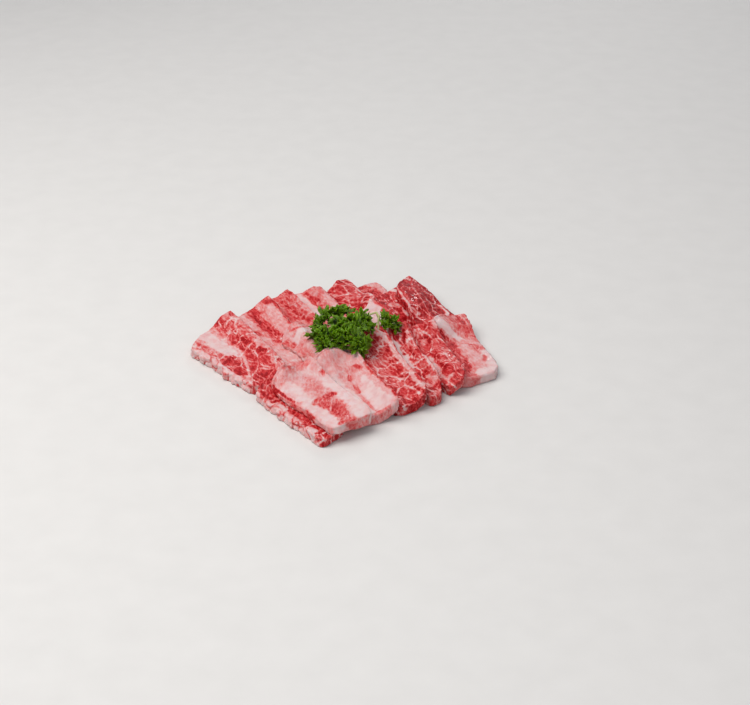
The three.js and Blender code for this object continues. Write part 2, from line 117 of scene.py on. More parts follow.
# Each slice: its material, the slant of its grain in degrees from its length, the tissue of most of it, and
# strokes of other tissue over that; some of the darker tissue on near ends and walls, and on back_8, is
# partly painted shade. A stroke is how lean it is, its width, and the points that it runs through: (across,
# along), from -1 at the left or far side to 1 at the right or near side.
SLICES = {
    "slice_back_1": ("lean_beef", 12, PALE, [
        (MARBLED, 4, (-0.75, -0.95), (-0.8, -0.6)),
        (LEAN, 3.5, (-0.95, -0.55), (-0.85, -0.45)),
        (MARBLED, 8, (-0.8, -0.25), (-0.5, -0.15)),
        (FAT, 11.5, (-0.3, -1.1), (-0.24, -0.6), (-0.1, -0.2)),
        (LEAN, 7, (0.38, -1.1), (0.44, -0.6), (0.5, 0.05)),
        (DEEP, 2.6, (0.36, -1), (0.44, -0.65)),
        (DEEP, 2.6, (0.5, -0.4), (0.55, 0)),
        (MARBLED, 4, (0.7, -0.9), (0.75, -0.1)),
        (LEAN, 15, (-0.55, 0.15), (-0.7, 0.45)),
        (DEEP, 4, (-0.25, -0.06), (-0.8, 0.04)),
        (DEEP, 5, (-0.95, 0.2), (-0.75, 0.5)),
        (LEAN, 20, (0.3, 0.35), (0.3, 0.7)),
        (LEAN, 12, (-0.6, 0.9), (0.3, 1)),
        (DEEP, 4, (0.6, 0.22), (0.78, 0.3)),
        (DEEP, 5, (-0.1, 0.75), (-0.4, 0.85)),
        (STREAKY, 2.0, (0.12, -0.3), (0.07, 0.12), (-0.2, 0.42), (-0.5, 0.67), (-0.95, 0.97)),
        (STREAKY, 4.5, (0.9, 0.12), (1, 0.28)),
        (PALE, 6, (0.95, 0.5), (0.8, 0.95)),
        (LEAN, 3, (0.85, 0.75), (1, 0.72)),
        (LEAN, 3, (0.97, -0.97), (0.9, -0.9)),
    ]),
    "slice_back_2": ("marbled_beef", 0, PALE, [
        (STREAKY, 16, (0.0, 0.3), (0.1, 0.7)),
        (STREAKY, 5, (-0.35, -1.1), (-0.3, -0.55)),
        (LEAN, 3.5, (-0.42, -0.45), (-0.3, -0.35)),
        (LEAN, 6, (0.1, -1.1), (0.15, -0.5), (0.35, -0.05)),
        (DEEP, 2.5, (0.1, -0.85), (0.1, -0.6)),
        (DEEP, 2, (0.25, -0.4), (0.38, -0.15)),
        (LEAN, 6, (0.7, -1.1), (0.8, -0.85)),
        (STREAKY, 9, (0.8, -0.65), (0.72, -0.05)),
        (STREAKY, 5, (-0.25, -0.2), (-0.2, -0.12)),
        (LEAN, 2, (0.97, -0.9), (1, -0.1)),
        (LEAN, 5, (0.05, 0.0), (0.2, 0.06)),
        (PALE, 2.5, (0.2, 0.3), (0.35, 0.5)),
        (PALE, 6, (-0.1, 0.82), (0.3, 0.82)),
    ]),
    "slice_back_3": ("marbled_beef", -10, MARBLED, [
        (LEAN, 2, (0.2, -0.9), (0.3, -0.5), (0.45, 0.05)),
        (PALE, 4, (0.15, -0.05), (0.2, 0.15)),
        (PALE, 4, (0.95, -0.6), (0.9, -0.1)),
        (STREAKY, 2, (1, -0.4), (0.97, -0.1)),
    ]),
    "slice_back_4": ("marbled_beef", 0, PALE, [
        (FAT, 7, (-0.4, -1.1), (-0.3, -0.3)),
        (LEAN, 3.5, (0.15, -1.1), (0.24, -0.4)),
        (STREAKY, 4, (0.85, -0.7), (0.8, -0.3)),
    ]),
    "slice_back_5": ("lean_beef", -30, LEAN, [
        (PALE, 1.2, (-0.35, -0.95), (-0.1, -0.6), (0.1, -0.38), (0.5, -0.1)),
        (MARBLED, 1.2, (-0.1, -0.9), (0.1, -0.6), (0.25, -0.42)),
        (DEEP, 5, (-0.35, -0.7), (-0.15, -0.5)),
        (MARBLED, 5, (0.6, -0.5), (0.5, -0.3)),
        (DEEP, 4, (0.65, -0.08), (0.75, -0.04)),
        (DEEP, 4, (0.1, -0.2), (0.3, -0.02)),
        (STREAKY, 1.6, (0.98, -0.6), (0.97, 0.05), (0.4, 0.12)),
    ]),
    "slice_back_6": ("marbled_beef", 20, LEAN, [
        (STREAKY, 9, (0.45, -1.1), (0.95, -0.8), (1, -0.3)),
        (DEEP, 6, (0.35, -0.65), (0.5, -0.45)),
    ]),
    "slice_back_7": ("lean_beef", -10, LEAN, [
        (DEEP, 14, (-0.7, -0.9), (-0.3, 0.1)),
        (FAT, 4, (0.0, -1.05), (0.15, -0.95)),
        (PALE, 5, (-0.4, -0.42), (-0.22, -0.32)),
        (DEEP, 5, (0.05, 0.3), (0.15, 0.5)),
        (STREAKY, 3, (0.0, -0.1), (0.02, 0.2)),
    ]),
    # Mostly deep red: muscle, and partly painted shade, as this slice faces away from the light
    "slice_back_8": ("lean_beef", 22, DEEP, [
        (LEAN, 8, (0.3, -1), (0.5, -0.5)),
        (DEEP, 18, (0.4, -0.2), (0.4, 0.2)),
        (DEEP, 10, (-0.15, -0.9), (-0.3, -0.3), (-0.4, 0.1)),
        (STREAKY, 1.4, (-1, -0.9), (-0.97, 0.1)),
        (MARBLED, 1.4, (-0.75, -0.85), (-0.75, -0.2)),
        (PALE, 1.1, (0.05, -0.7), (-0.05, 0), (-0.12, 0.4)),
        (PALE, 3, (-0.8, 0.03), (-0.65, 0.18)),
        (PALE, 1.6, (-0.9, 0.1), (-0.6, 0.42)),
        (DEEP, 4, (-0.97, 0.3), (-0.85, 0.42)),
        (FAT, 2.4, (1, 0.0), (0.97, 0.3), (0.7, 0.42)),
    ]),
    "slice_middle_1": ("fatty_beef", 25, STREAKY, [
        (PALE, 5, (-0.1, -1.05), (0.9, -1.05)),
        (MARBLED, 1.6, (-0.3, -1.0), (0.05, -0.87), (0.5, -0.85), (0.9, -0.85)),
        (FAT, 5, (-0.7, -0.62), (-0.1, -0.72), (0.6, -0.66)),
        (MARBLED, 4, (-0.95, -0.9), (-0.9, -0.6)),
        (PALE, 6, (-0.9, -0.35), (-0.8, 0.2)),
        (FAT, 6, (0.3, 0.25), (0.9, 0.3)),
    ]),
    "slice_middle_2": ("fatty_beef", 0, FAT, [
        (MARBLED, 5, (1, -1.1), (1, -0.5)),
        (LEAN, 4, (1.05, -0.8), (0.95, -0.4)),
        (LEAN, 12, (0.9, -0.1), (0.5, 0.8)),
    ]),
    "slice_front_1": ("lean_beef", 35, LEAN, [
        (DEEP, 6, (-0.7, -0.9), (-0.6, -0.6)),
        (MARBLED, 2.5, (-0.5, -0.8), (-0.35, -0.6)),
        (PALE, 3, (-0.6, -0.5), (-0.8, -0.1), (-0.85, 0.35)),
        (FAT, 2.4, (-0.62, -0.38), (-0.72, -0.2)),
        (STREAKY, 2.4, (-0.88, 0), (-0.82, 0.3)),
        (DEEP, 3, (-0.6, -0.1), (-0.55, 0.15)),
        (DEEP, 4.5, (-0.97, 0.5), (-0.4, 0.46)),
        (FAT, 4.2, (-0.8, 0.62), (-0.72, 0.78)),
        (STREAKY, 2, (-0.6, 0.68), (-0.5, 0.8)),
        (DEEP, 6, (-0.9, 0.95), (-0.2, 0.97)),
    ]),
    "slice_front_2": ("fatty_beef", 35, STREAKY, [
        (PALE, 8, (-0.2, -0.97), (0.7, -0.97)),
        (BLUSHED, 9, (0.35, -0.4), (0.3, -0.1)),
        (LEAN, 3, (0.97, -0.6), (0.95, -0.48)),
        (FAT, 9, (-0.6, -0.62), (-0.65, 0.2), (-0.7, 1)),
        (FAT, 15, (1.1, -0.3), (0.95, 0.2), (0.8, 0.6), (0.7, 1)),
        (MARBLED, 15, (0.0, 0.35), (0.02, 0.5)),
        (MARBLED, 9, (-0.05, 0.45), (-0.2, 0.88)),
        (MARBLED, 7, (-0.38, 0.16), (0.42, 0.06)),
        (LEAN, 4, (0.15, 0.12), (0.45, 0.03)),
        (LEAN, 4, (-0.35, 0.35), (-0.2, 0.28)),
        (LEAN, 5, (-0.1, 0.45), (-0.2, 0.8)),
        (STREAKY, 1.5, (0.3, 0.17), (0.0, 0.34), (-0.35, 0.54)),
        # The near end's face: redder meat, partly painted shade where the face is in shadow
        (MARBLED, 3, (-0.6, 1.0), (0.1, 1.0)),
        (PALE, 1.6, (0.2, 1.05), (1, 1.05)),
        (DEEP, 2, (-1.06, -0.9), (-1.06, -0.2)),
        (LEAN, 1.2, (-1.1, -0.2), (-1.1, 0.5)),
    ]),
    "slice_front_3": ("fatty_beef", 10, STREAKY, [
        (BLUSHED, 7, (0.1, -0.6), (0.4, -0.45)),
        (FAT, 6, (-0.68, -0.45), (-0.5, 0.3), (-0.35, 1)),
        (FAT, 14, (0.5, 0.0), (0.5, 0.5), (0.4, 0.8)),
        (STREAKY, 3, (0.85, -0.1), (0.85, 0.8)),
        (STREAKY, 6, (0.3, -0.3), (0.2, 0.0)),
        (MARBLED, 2.5, (0.65, -0.5), (0.8, -0.35)),
        (MARBLED, 2.4, (0.1, -0.35), (0.05, -0.25)),
        (MARBLED, 3.2, (0.05, -0.05), (-0.05, 0.2)),
        (PALE, 2, (-0.1, 0.3), (-0.1, 0.9)),
        # The near end's face: redder meat, partly painted shade where the face is in shadow
        (MARBLED, 2.5, (-0.05, 0.97), (0.2, 1.0)),
        # The right wall: red muscle, partly painted shade on the side that is away from the light
        (LEAN, 2, (1.08, -0.4), (1.06, 0.9)),
        (PALE, 2.6, (-0.5, 1.02), (0.5, 1.02)),
    ]),
    "slice_front_4": ("lean_beef", -15, LEAN, [
        (MARBLED, 12, (-0.2, -0.3), (-0.1, -0.1)),
        (DEEP, 5, (-0.45, 0.5), (-0.4, 0.8)),
        (DEEP, 4, (0.4, -0.1), (0.5, 0.25)),
        (PALE, 0.9, (-0.2, -0.5), (-0.4, -0.3), (-0.65, 0.0)),
        (PALE, 0.8, (0.0, -0.55), (0.35, -0.2), (0.5, 0.05)),
        (PALE, 0.8, (0.35, -0.75), (0.6, -0.4), (0.75, -0.1)),
        (STREAKY, 1.2, (-0.7, 0.07), (-0.2, 0.12), (0.1, 0.17), (0.35, 0.32), (0.65, 0.42)),
        (PALE, 0.9, (-0.65, 0.27), (0.0, 0.2), (0.05, 0.5)),
        (STREAKY, 1.1, (-0.5, 0.72), (-0.1, 0.55), (0.3, 0.52), (0.55, 0.78), (0.6, 1)),
        (STREAKY, 3.5, (0.5, -0.98), (0.85, -0.8), (1.0, -0.58)),
        (STREAKY, 3, (1.0, -0.6), (1.0, 0.2), (0.84, 0.6), (0.92, 0.9)),
        (STREAKY, 3, (-0.5, 0.85), (-0.45, 0.92)),
        (DEEP, 6, (-0.25, 0.92), (0.2, 1)),
        # The near wall: deep red muscle, partly painted shade where the wall is in shadow
        (DEEP, 2.4, (-0.9, 1.02), (0.8, 1.02)),
    ]),
    "slice_front_5": ("lean_beef", -8, MARBLED, [
        (LEAN, 2.5, (0.1, -0.9), (0.2, -0.2)),
        (LEAN, 4, (0.1, 0.0), (0.3, 0.5)),
        (DEEP, 6, (-0.4, -1.05), (0.2, -0.97)),
        (FAT, 5, (-0.65, -0.85), (-0.38, -0.65), (-0.25, -0.4), (-0.32, -0.05)),
        (DEEP, 1.4, (0.1, -0.9), (0.35, -0.6), (0.45, -0.35)),
        (LEAN, 4, (0.0, -0.72), (0.05, -0.6)),
        (DEEP, 2.5, (0.8, -0.5), (0.9, -0.3)),
        (DEEP, 3.8, (-0.15, 0.3), (-0.08, 0.55)),
        (PALE, 2.5, (0.3, 0.55), (0.6, 0.8)),
        (STREAKY, 1.8, (0.98, -0.2), (1, 0.8)),
        # Painted shadow along the near end
        (DEEP, 7, (-0.2, 0.97), (0.6, 1)),
        # The near wall: deep red muscle, partly painted shade where the wall is in shadow
        (DEEP, 2.4, (-0.9, 1.02), (0.8, 1.02)),
    ]),
    "slice_front_6": ("lean_beef", -15, LEAN, [
        (PALE, 1.1, (-0.6, -0.75), (-0.3, -0.95), (0.0, -0.92), (0.18, -0.68), (0.4, -0.4)),
        (PALE, 0.9, (-0.4, -0.7), (-0.1, -0.82), (0.1, -0.55)),
        (STREAKY, 4, (0.95, -0.85), (0.92, -0.65)),
        (PALE, 3, (-0.22, -0.58), (-0.18, -0.5)),
        (DEEP, 1.8, (0.08, -0.7), (0.25, -0.42)),
        (DEEP, 4, (-0.12, 0.05), (-0.05, 0.22)),
        (DEEP, 1.6, (-0.3, 0.3), (-0.05, 0.75)),
        (MARBLED, 4, (0.45, -0.35), (0.4, 0.0), (0.2, 0.3)),
        (STREAKY, 2.2, (-0.4, -0.05), (-0.52, 0.4), (-0.6, 0.75), (-0.6, 0.95)),
        (DEEP, 4, (-0.1, 0.85), (0.1, 0.97)),
        (PALE, 1.0, (0.5, 0.0), (0.7, 0.5), (0.5, 0.95)),
        (PALE, 3, (-0.5, 1.0), (-0.1, 1.05)),
        # The near wall: deep red muscle, partly painted shade where the wall is in shadow
        (DEEP, 2.4, (0.2, 1.02), (0.8, 1.02)),
    ]),
    "slice_front_7": ("fatty_beef", -5, PALE, [
        (MARBLED, 9, (0.2, -0.95), (0.7, -0.5)),
        (DEEP, 3.2, (0.55, -1), (0.65, -0.7)),
        (MARBLED, 4, (0.9, -0.8), (0.95, -0.4)),
        (LEAN, 1.6, (0.75, -0.35), (1, -0.2)),
        (LEAN, 12, (-0.55, -0.35), (-0.5, 0.75)),
        (DEEP, 4, (-0.65, -0.7), (-0.4, -0.45)),
        (DEEP, 4, (-0.3, 0.35), (-0.2, 0.7)),
        (MARBLED, 4, (0.45, -0.12), (0.65, 0.1)),
        (FAT, 8, (-0.75, -1.05), (-0.45, -0.82)),
        (FAT, 5, (-0.45, -0.82), (0.0, -0.5), (0.3, -0.28)),
        (STREAKY, 4.5, (0.3, -0.28), (0.7, -0.1), (1, 0.05)),
        (STREAKY, 7, (0.15, -0.1), (0.3, 0.3), (0.45, 1)),
        (FAT, 9, (0.9, 0.35), (0.75, 1)),
        (ROSY, 3.4, (0.75, 0.45), (0.58, 0.6)),
        (PALE, 6, (-0.1, 0.9), (0.1, 0.95)),
        (MARBLED, 5, (-0.7, 0.95), (-0.4, 0.97)),
        (MARBLED, 3, (-0.1, 1.0), (0.05, 1.03)),
        (FAT, 9, (0.2, 1.0), (0.6, 1.02), (1.05, 0.98), (1.06, 0.5)),
    ]),
}

# Where a slice is fuller, limper or shorter than its solid: the slice, how far that reaches from a path, how
# much thicker the slice is there, how much higher it lies, how far it is drawn in, and the path's points.
EASED = [
    ("slice_middle_1", 12, -4.2, -1.6, 0, (-1, -1), (-1, 1)),
    ("slice_front_2", 8, 0, -1.8, 0, (-1, -1), (-1, -0.9)),
    ("slice_front_3", 11, 2.6, 1.6, 0, (0.0, -1), (0.3, -1)),
    ("slice_front_3", 11, 0, 0, 4.5, (1, -1), (1, -0.95)),
    ("slice_front_5", 15, 0, 0, 4.5, (-1, 1), (1, 1)),
    ("slice_front_7", 9, 0, 0, 2, (1, 1), (1, 0.95)),
]

# The sprig of parsley: its stalk, and where each of its branches leaves the stalk and ends, with the leaflets
# that each branch bears. Each is x, y and z, and a leaflet has its radius as well.
SPRIG_STALK = [
    (22.5, 12.5, 15), (22.3, 14.5, 17.5), (22.2, 17, 21), (22.8, 19, 24),
    (21, 20.5, 26), (17, 19, 25.5), (12, 14, 23), (7, 7, 20),
]
SPRIG_BRANCHES = [
    ((7, 7, 20), (-12, -3, 17), [
        (-17.4, -3.3, 20, 8), (-20.2, 3.3, 21, 6.5), (-14.3, -9.6, 17.5, 6.5), (-8.6, -5, 20, 5.5),
        (-11.5, -0.6, 23, 7.5),
    ]),
    ((7, 7, 20), (-7, 15, 20), [
        (-16.5, 22, 24, 7), (-18.7, 12.3, 23, 6.5), (-8.9, 23.1, 26.5, 7.5), (-1, 24, 26.5, 7),
        (-5, 7, 27.5, 7.5),
    ]),
    ((7, 7, 20), (6, -9, 17), [
        (-3, 1.3, 25, 6.5), (0.9, -5.4, 24, 7), (9.5, -14.5, 21, 6), (12.2, -15, 19.2, 6.2),
        (8.1, -9.7, 24, 7),
    ]),
    ((12, 14, 23), (12, 4, 21), [
        (2.9, 12.6, 27.5, 7), (9.4, 0.6, 28, 7.5), (14.8, 12.6, 27.5, 5.6), (17.8, 4, 24.5, 5.2),
        (14, -7.6, 20, 6.5), (12, 21, 26, 6),
    ]),
    ((21, 20.5, 26), (26, 16, 19), [
        (27.4, 20.7, 25.5, 4.5), (30.2, 17.4, 24, 6), (34.5, 17.6, 21, 6), (27.5, 15.5, 20.5, 5),
    ]),
    ((7, 7, 20), (0, -3, 17), [(-2.5, -8.3, 17.5, 5)]),
]
SPRIG_HEART = (5, 4, 2)  # what every leaflet faces away from
SPRIG_SEED = 41

# Stems: the radii at the start and the end of each kind, and how far its middle hangs down
STALK_RADII = (0.75, 0.65)
BRANCH_RADII = (0.8, 0.6)
BRANCH_SAG = 1.5
TWIG_RADII = (0.55, 0.4)
TWIG_SAG = 0.4
STEM_STEPS = 8
STEM_SIDES = 8
STEM_ASIDE = (0.2, 0.3, 1)  # a direction that no stem runs in

# A leaflet is a tuft of fans: six spread outwards, and three stand up inside them. Each fan's pairs are the
# ranges of its lean in radians and of its size. Sizes and places are shares of the leaflet's radius.
FANS = [((-0.35, 0.6), (0.8, 1.1))] * 6 + [((0.7, 1.3), (0.6, 0.85))] * 3
FAN_TURN = 2.4  # the angle from one fan to the next
FAN_TURN_SPREAD = (-0.4, 0.4)
FAN_TWIST = (-0.6, 0.6)
FAN_OUT = (-0.1, 0.35)
FAN_UP = (-0.3, 0.1)
TUFT_DEPTH = 0.3  # how far a tuft starts behind its leaflet's middle
LEAFLET_ASIDE = (0.3, 1, 0.1)  # a direction that no leaflet faces

# A fan's lobes. Pairs are ranges, and lengths are shares of the fan's radius.
LOBES = (3, 3, 4)
LOBE_SPREAD = math.radians(44)
LOBE_LENGTH = (0.8, 1.15)
LOBE_CURL = (-0.45, 0.4)
LOBE_KEEL = (0.15, 0.45)
LOBE_TWIST = (-0.15, 0.15)
FAN_BOWL = (-0.25, 0.3)
LOBE_REACH = 0.94
NOTCH_DEPTH = 0.46
TEETH = ((0, 1), (0.6, 0.9))  # where each tooth is, from a lobe's middle to its side, and how full it is
TOOTH_WIDTH = 0.25
TOOTH_LENGTH = 0.24
LOBE_STEPS = 10
FAN_RINGS = 4
FAN_START = 0.05
TIP_SHORTFALL = 0.12  # how much less far out a bent tip is than a flat one
LEAF_THICKNESS = 0.2
CRUMPLE = ((5.0, 1.2), (2.0, 0.7))  # the size of each kind of crumple in the leaves, and its height
CRUMPLE_SEEDS = (61, 62, 63)  # for x, y and z

# Painted light and shade on a leaf, dark in its folds and bright on its ridges: the painted shade at a fan's
# start, the painted light that its tip adds, and the painted shade of the notches near the start
PAINTED_SHADE_AT_START = 0.30
PAINTED_LIGHT_TO_TIP = 0.55
PAINTED_SHADE_IN_NOTCHES = 0.25
PAINTED_SHADE_AND_TONE_RANGE = (0.15, 0.95)  # the darkest and the brightest

# The patterns in the parsley
LEAF_PATCH_SIZE = 4.0
LEAF_PATCHES = 0.9  # how strong they are
LEAF_BUMP_SIZE = 0.7
STEM_STREAK_SIZE = 0.8
STEM_STREAK_SCALE = (1.0, 1.0, 0.3)

# The patterns in raw beef: their sizes, and their scales across the grain, along it and down
BEND_SIZE = 7.0
BEND = 4.0  # how far the other patterns are bent
BUNDLE_SIZE = 7.5
BUNDLE_SCALE = (1.0, 0.6, 0.8)
BUNDLE_SEAM = 0.09  # the width of the seams between bundles, as a share of a bundle
THREAD_SIZE = 2.3
THREAD = 0.2  # the width of a thread, as a share of the cells between threads
THREAD_CORE = 0.02  # the same for its plain white middle
CUT_SCALE = (1.0, 0.42, 0.6)
FLECK_SIZE = 0.9
FIBRE_SCALE = (0.75, 0.17, 0.5)
CLOUD_SIZE = 1.6
STREAK_SIZE = 1.0
SOFT_CLOUD_SIZE = 5.0
PATCH_SIZE = 9.0
DAMP_SIZE = 3.0
DAMP_FADES_IN = (0.54, 0.68)
PORE_SIZE = 1.0
PATCH_FADES_IN = (0.3, 0.65)
PATCH_LEAST = 0.4  # how much of the web shows between its patches
GRAIN_STEP = 90.0  # how far one slice's patterns are from the next one's

# How much each pattern reddens or whitens the beef
LEAN_REDDENS = 1.08
LEAST_RED = 0.04
CLOUDS_IN_MARBLING = 3.2  # most where half of the meat is lean
CLOUDS_ELSEWHERE = 0.25
SOFT_CLOUDS = 0.45
THREADS = 0.36
FLECKS = 0.12
STREAKS = 1.4

# How far each pattern stands out or lies lower
PORE_HEIGHT = 0.7
CLOUD_HEIGHT = 0.3
RED_DEPTH = 0.5

# Each kind of beef: how wet it is, how strong its clouds are, and how white the seams between its bundles
BEEF_LOOKS = {
    "lean_beef": (0.6, 0.85, 0.6),
    "marbled_beef": (0.4, 0.65, 0.2),
    "fatty_beef": (0.3, 0.45, 0.15),
}

# Where a Mix node for colours has its factor, its two colours and its result
MIX_FACTOR = 0
MIX_START = 6
MIX_END = 7
MIX_RESULT = 2

# What scatters the values of the noise that shapes the meshes
SCATTER = np.array((127.1, 311.7, 74.7))
SCATTER_SCALE = 43758.5453
SEED_STEP = 7.31


class Shade:
    """The output of a node in a material. Python's operators on it add the nodes that work them out."""

    def __init__(self, tree, socket=None):
        self.tree = tree
        self.socket = socket

    def node(self, kind, settings=(), sockets=(), out=0):
        """A new node of this kind. Its settings are made first, then its sockets are set or linked."""
        made = self.tree.nodes.new(kind)
        for name, value in dict(settings).items():
            if name == "stops":
                set_stops(made.color_ramp.elements, value)
            else:
                setattr(made, name, value)
        for key, value in dict(sockets).items():
            if isinstance(value, Shade):
                self.tree.links.new(value.socket, made.inputs[key])
            else:
                made.inputs[key].default_value = value
        return Shade(self.tree, made.outputs[out] if made.outputs else None)

    def work_out(self, operation, *values):
        """Math on numbers, or Vector Math where one of the values is a vector or a colour."""
        wide = any(isinstance(v, Shade) and v.socket.type != "VALUE" for v in values)
        if not wide:
            return self.node("ShaderNodeMath", {"operation": operation}, enumerate(values))
        spread = [v if isinstance(v, (Shade, tuple)) else (v, v, v) for v in values]
        return self.node("ShaderNodeVectorMath", {"operation": operation}, enumerate(spread))

    def __add__(self, other):
        return self.work_out("ADD", self, other)

    def __radd__(self, other):
        return self.work_out("ADD", other, self)

    def __sub__(self, other):
        return self.work_out("SUBTRACT", self, other)

    def __rsub__(self, other):
        return self.work_out("SUBTRACT", other, self)

    def __mul__(self, other):
        return self.work_out("MULTIPLY", self, other)

    def __rmul__(self, other):
        return self.work_out("MULTIPLY", other, self)

    def between(self, low, high):
        """0 below low, 1 above high, and a smooth rise from one to the other."""
        sockets = {"Value": self, "From Min": low, "From Max": high}
        return self.node("ShaderNodeMapRange", {"interpolation_type": "SMOOTHSTEP"}, sockets)

    def mix(self, start, end):
        """A colour that goes from start to end as this value goes from 0 to 1."""
        sockets = {MIX_FACTOR: self, MIX_START: start, MIX_END: end}
        return self.node("ShaderNodeMix", {"data_type": "RGBA"}, sockets, MIX_RESULT)

    def attribute(self, name, out="Fac"):
        """What a mesh keeps under this name."""
        return self.node("ShaderNodeAttribute", {"attribute_name": name}, out=out)

    def noise(self, place, size, detail=2.0, out="Fac"):
        """Cloudy noise at a place, with clouds of this size."""
        sockets = {"Vector": place, "Scale": 1 / size, "Detail": detail}
        return self.node("ShaderNodeTexNoise", {}, sockets, out)

    def web(self, place, size, thread=THREAD):
        """0 on the threads of a web and 1 in its cells. A thread's width is a share of a cell's."""
        sockets = {"Vector": place, "Scale": 1 / size}
        cells = self.node("ShaderNodeTexVoronoi", {"feature": "DISTANCE_TO_EDGE"}, sockets)
        return cells.between(THREAD_CORE, thread)


def set_stops(band, stops):
    """Gives a colour ramp its stops, each a place and a colour."""
    for _ in stops[2:]:
        band.new(0.5)
    for element, (place, shade) in zip(band, stops):
        element.position = place
        element.color = shade


def new_material(name):
    """An empty material, with the Shade that its nodes start from."""
    material = bpy.data.materials.new(name)
    material.use_nodes = True
    material.node_tree.nodes.clear()
    return material, Shade(material.node_tree)


def close_material(start, sockets):
    """Ends a material in one Principled shader."""
    skin = start.node("ShaderNodeBsdfPrincipled", {}, sockets)
    start.node("ShaderNodeOutputMaterial", {}, {"Surface": skin})


def colour(red, green, blue):
    """A colour as the screen shows it, from 0 to 255, in the linear values that shaders take."""
    return (*[(c / 255) ** 2.2 for c in (red, green, blue)], 1.0)


# Raw beef from white fat to the reddest muscle
FLESH = [
    (0.00, colour(217, 190, 188)),
    (0.18, colour(215, 158, 156)),
    (0.38, colour(211, 118, 115)),
    (0.56, colour(203, 79, 78)),
    (0.74, colour(189, 44, 47)),
    (1.00, colour(146, 9, 18)),
]


def beef(name, wetness, contrast, seams):
    """Raw meat: white fat, and bundles of muscle that are webbed and flecked with it."""
    material, start = new_material(name)
    lean = start.attribute("lean")
    grain = start.attribute("grain", "Vector")
    bent = grain + (start.noise(grain, BEND_SIZE, 2.0, "Color") - 0.5) * BEND
    cut = bent * CUT_SCALE
    fibres = bent * FIBRE_SCALE
    bundle_seams = 1 - start.web(bent * BUNDLE_SCALE, BUNDLE_SIZE, BUNDLE_SEAM)
    threads = 1 - start.web(cut, THREAD_SIZE)
    flecks = 1 - start.web(fibres, FLECK_SIZE)
    clouds = start.noise(cut, CLOUD_SIZE, 3.0) - 0.5
    streaks = start.noise(fibres, STREAK_SIZE, 3.0) - 0.5
    soft_clouds = start.noise(grain, SOFT_CLOUD_SIZE) - 0.5
    patches = start.noise(grain, PATCH_SIZE).between(*PATCH_FADES_IN) * (1 - PATCH_LEAST) + PATCH_LEAST
    web = (bundle_seams * seams + threads * THREADS + flecks * FLECKS) * patches - streaks * STREAKS
    liveliness = (lean * (1.0 - lean) * CLOUDS_IN_MARBLING + CLOUDS_ELSEWHERE) * contrast
    redness = lean * LEAN_REDDENS + LEAST_RED + clouds * liveliness + soft_clouds * SOFT_CLOUDS - web * lean
    damp = start.noise(grain, DAMP_SIZE)
    pores = start.noise(grain, PORE_SIZE, 3.0)
    height = pores * PORE_HEIGHT + clouds * CLOUD_HEIGHT - redness.between(0.0, 1.0) * RED_DEPTH
    close_material(start, {
        "Base Color": start.node("ShaderNodeValToRGB", {"stops": FLESH}, {"Fac": redness}),
        "Roughness": 0.62 - damp * 0.2,
        "Coat Weight": damp.between(*DAMP_FADES_IN) * wetness,
        "Coat Roughness": 0.13,
        "Specular IOR Level": 0.15,
        "Subsurface Weight": 0.18,
        "Subsurface Radius": (1.0, 0.35, 0.22),
        "Subsurface Scale": 2.0 * MM,
        "Normal": bump(start, height, 0.3, 0.6),
    })
    return material


def bump(start, height, distance, strength):
    """A bumpy surface: its height from 0 to 1, how many millimetres up 1 is, and how strongly it shows."""
    sockets = {"Height": height, "Distance": distance * MM, "Strength": strength}
    return start.node("ShaderNodeBump", {}, sockets)


def leaf_green():
    """Curly parsley leaf, with painted light on its ridges and painted shade in its folds."""
    material, start = new_material("parsley_leaf")
    # fold is painted shade and light: dark at the fans' starts and notches, bright towards their tips
    fold = start.attribute("fold")
    place = start.attribute("grain", "Vector")
    patches = start.noise(place, LEAF_PATCH_SIZE)
    tone = fold + (patches - 0.5) * LEAF_PATCHES
    close_material(start, {
        # From the near-black green of the painted shade to the bright green of the painted light, with
        # patches of the leaf's own tone
        "Base Color": tone.between(*PAINTED_SHADE_AND_TONE_RANGE).mix(colour(10, 28, 0), colour(102, 141, 0)),
        "Roughness": 0.5 - patches * 0.2,
        "Specular IOR Level": 0.3,
        "Subsurface Weight": 0.12,
        "Subsurface Radius": (0.5, 1.0, 0.2),
        "Subsurface Scale": 1.0 * MM,
        "Normal": bump(start, start.noise(place, LEAF_BUMP_SIZE), 0.2, 0.4),
    })
    return material


def stem_green():
    """Parsley stem, paler than the leaf."""
    material, start = new_material("parsley_stem")
    place = start.attribute("grain", "Vector")
    streaks = start.noise(place * STEM_STREAK_SCALE, STEM_STREAK_SIZE)
    close_material(start, {
        "Base Color": streaks.mix(colour(150, 168, 84), colour(216, 206, 150)),
        "Roughness": 0.42,
    })
    return material


def pale_matte():
    """The plain pale surface that everything stands on."""
    material, start = new_material("pale_floor")
    place = start.node("ShaderNodeTexCoord", out="Object")
    tone = start.noise(place, FLOOR_SPECKLE, 3.0)
    close_material(start, {
        "Base Color": tone.mix(colour(222, 220, 216), colour(214, 212, 208)),
        "Roughness": 0.75,
    })
    return material


def wobble(points, size, seed):
    """Smooth noise from -1 to 1 at points in millimetres, with bumps of this size."""
    place = points / size + seed * SEED_STEP
    cell = np.floor(place)
    inside = place - cell
    inside = inside * inside * (3 - 2 * inside)
    total = np.zeros(len(points))
    for corner in product((0, 1), repeat=3):
        turn = (cell + corner) @ SCATTER
        value = np.modf(np.abs(np.sin(turn) * SCATTER_SCALE))[0]
        total += value * np.prod(np.where(corner, inside, 1 - inside), axis=1)
    return 2 * total - 1


def rise(values, low, high):
    """0 below low, 1 above high, and a smooth rise from one to the other."""
    share = np.clip((values - low) / (high - low), 0, 1)
    return share * share * (3 - 2 * share)


def unit(vector):
    """A vector's direction."""
    return vector / np.linalg.norm(vector)


